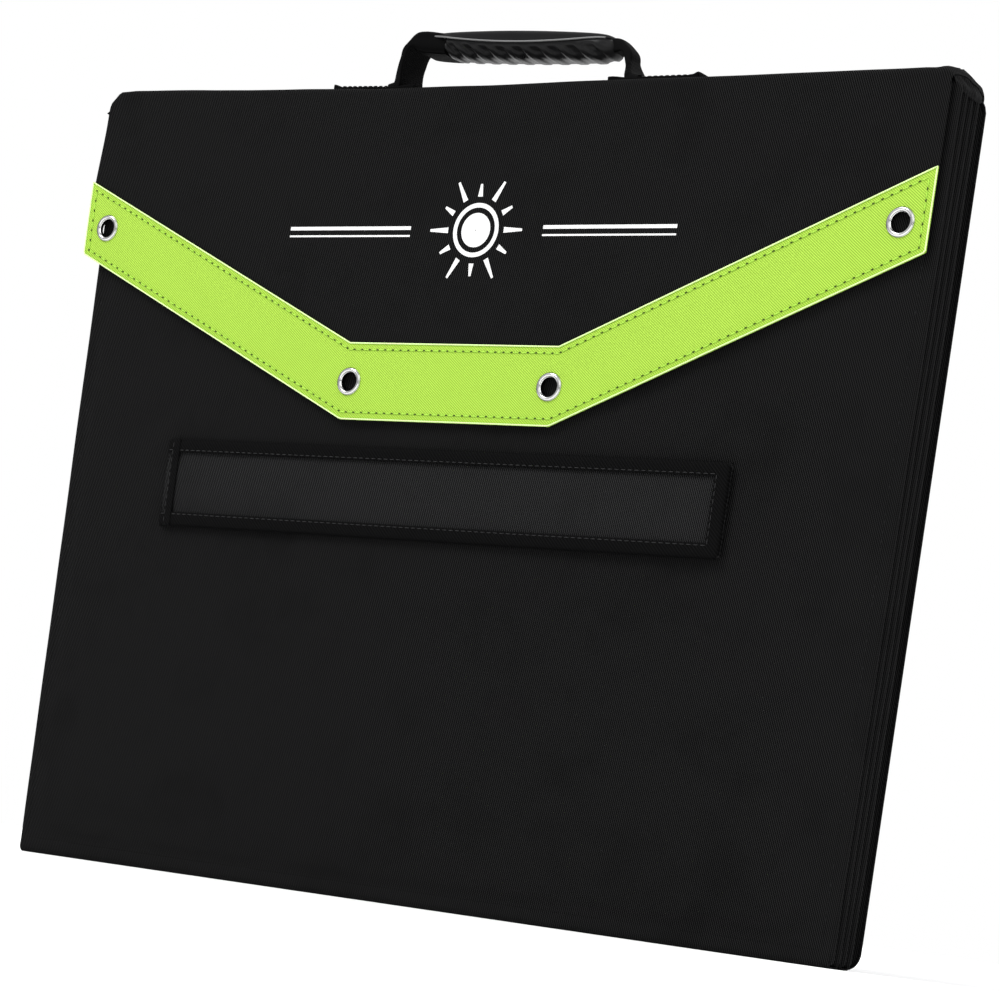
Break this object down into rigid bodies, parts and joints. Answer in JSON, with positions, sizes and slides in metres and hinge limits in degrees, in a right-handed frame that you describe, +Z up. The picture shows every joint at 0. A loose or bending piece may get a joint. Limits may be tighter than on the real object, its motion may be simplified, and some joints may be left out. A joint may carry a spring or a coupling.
{
  "type": "solar suitcase kit",
  "caption": "Folding photovoltaic case: hinged fabric-sleeved panels with a handle, a closing flap with eyelets, a support leg and a rear pocket for the charge controller.",
  "frame": {"origin": "under the middle of the closed case's thickness and width, at the level it stands on", "axes": "+Z up, front of the closed case towards -Y, +X to the right seen from the front"},
  "size_m": [0.56, 0.0559, 0.4855],
  "materials": {
    "black_twill": "matte black polyester twill with a fine diagonal weave",
    "grey_twill": "dark grey twill, a little lighter than the case",
    "green_twill": "lime green twill with a fine diagonal weave and a bright cut edge",
    "black_tape": "black woven binding tape and webbing with cross ribs",
    "hook_loop": "black hook and loop tape",
    "board": "grey hollow plastic board",
    "laminate": "white backsheet under clear film, semi-gloss",
    "silicon": "dark blue-black crystalline cells with silver ribbons",
    "nickel": "polished nickel-plated brass",
    "plastic": "black moulded plastic, fine texture",
    "grip": "black moulded grip, satin, ribbed underside",
    "display": "grey-green liquid-crystal window",
    "key": "soft green push button",
    "terminal": "green screw terminal block",
    "zip": "black zip tape with moulded teeth",
    "zip_metal": "dark plated slider and pull",
    "cable": "black rubber cable sheath"
  },
  "bodies": {
    "back_panel": {"cover_4": "black_twill", "board_4": "board", "laminate_4": "laminate", "cells_4": "silicon", "rear_pocket": "black_twill", "zip_tape": "zip", "junction_box": "plastic", "junction_lid": "plastic", "link_cable": "cable", "controller_case": "plastic", "controller_display": "display", "controller_terminals": "terminal", "output_lead": "cable", "output_plug": "plastic"},
    "strip_rear": {"fold_strip_rear": "black_twill"},
    "panel_3": {"cover_3": "black_twill", "board_3": "board", "laminate_3": "laminate", "cells_3": "silicon"},
    "strip_middle": {"fold_strip_middle": "black_twill"},
    "panel_2": {"cover_2": "black_twill", "board_2": "board", "laminate_2": "laminate", "cells_2": "silicon"},
    "strip_front": {"fold_strip_front": "black_twill"},
    "front_panel": {"cover_1": "black_twill", "board_1": "board", "laminate_1": "laminate", "cells_1": "silicon", "loop_tape_left": "hook_loop", "loop_tape_right": "hook_loop", "leg_hinge_tape": "black_tape"},
    "leg": {"leg_cover": "grey_twill", "leg_board": "board", "leg_binding": "black_tape"},
    "spine": {"spine_cover": "black_twill", "spine_board": "board", "handle_patch_left": "black_tape", "handle_patch_right": "black_tape"},
    "handle": {"handle_webbing": "black_tape", "grip_body": "grip", "grip_cap": "grip"},
    "flap_top": {"flap_root": "black_twill"},
    "flap": {"flap_sheet": "black_twill", "flap_trim": "green_twill", "eyelet_1": "nickel", "eyelet_2": "nickel", "eyelet_3": "nickel", "eyelet_4": "nickel", "eyelet_washer_1": "nickel", "eyelet_washer_2": "nickel", "eyelet_washer_3": "nickel", "eyelet_washer_4": "nickel", "hook_tape_left": "hook_loop", "hook_tape_right": "hook_loop"},
    "zip_pull": {"zip_slider": "zip_metal"},
    "button": {"mode_button": "key"}
  },
  "joints": [
    {"name": "fold_rear", "type": "hinge", "parent": "back_panel", "child": "strip_rear", "pos_m": [0, 0.0048, 0.0005], "axis": [1, 0, 0], "range_deg": [0, 90]},
    {"name": "fold_rear_panel", "type": "hinge", "parent": "strip_rear", "child": "panel_3", "pos_m": [0, -0.0018, 0.0005], "axis": [1, 0, 0], "range_deg": [0, 90]},
    {"name": "fold_middle", "type": "hinge", "parent": "panel_3", "child": "strip_middle", "pos_m": [0, -0.0018, 0.4521], "axis": [-1, 0, 0], "range_deg": [0, 90]},
    {"name": "fold_middle_panel", "type": "hinge", "parent": "strip_middle", "child": "panel_2", "pos_m": [0, -0.0084, 0.4521], "axis": [-1, 0, 0], "range_deg": [0, 90]},
    {"name": "fold_front", "type": "hinge", "parent": "panel_2", "child": "strip_front", "pos_m": [0, -0.0084, 0.0005], "axis": [1, 0, 0], "range_deg": [0, 90]},
    {"name": "fold_front_panel", "type": "hinge", "parent": "strip_front", "child": "front_panel", "pos_m": [0, -0.015, 0.0005], "axis": [1, 0, 0], "range_deg": [0, 90]},
    {"name": "spine_lift", "type": "hinge", "parent": "back_panel", "child": "spine", "pos_m": [0, 0.0184, 0.4544], "axis": [-1, 0, 0], "range_deg": [0, 90]},
    {"name": "flap_top_lift", "type": "hinge", "parent": "spine", "child": "flap_top", "pos_m": [0, -0.0203, 0.4544], "axis": [-1, 0, 0], "range_deg": [0, 90]},
    {"name": "flap_open", "type": "hinge", "parent": "flap_top", "child": "flap", "pos_m": [0, -0.0203, 0.44], "axis": [-1, 0, 0], "range_deg": [0, 130]},
    {"name": "handle_tilt", "type": "hinge", "parent": "spine", "child": "handle", "pos_m": [0, 0, 0.4565], "axis": [-1, 0, 0], "range_deg": [-42, 42]},
    {"name": "leg_swing", "type": "hinge", "parent": "front_panel", "child": "leg", "pos_m": [-0.1976, -0.0184, 0.228], "axis": [0, 0, -1], "range_deg": [0, 80]},
    {"name": "zip_slide", "type": "slide", "parent": "back_panel", "child": "zip_pull", "axis": [1, 0, 0], "range_m": [0, 0.42]},
    {"name": "mode_press", "type": "slide", "parent": "back_panel", "child": "button", "axis": [0, -1, 0], "range_m": [0, 0.0012]}
  ],
  "couplings": [
    {"joint": "fold_rear_panel", "follows": "fold_rear", "ratio": 1},
    {"joint": "fold_middle_panel", "follows": "fold_middle", "ratio": 1},
    {"joint": "fold_front_panel", "follows": "fold_front", "ratio": 1},
    {"joint": "spine_lift", "follows": "fold_middle", "ratio": 1},
    {"joint": "flap_top_lift", "follows": "fold_middle", "ratio": 1}
  ]
}
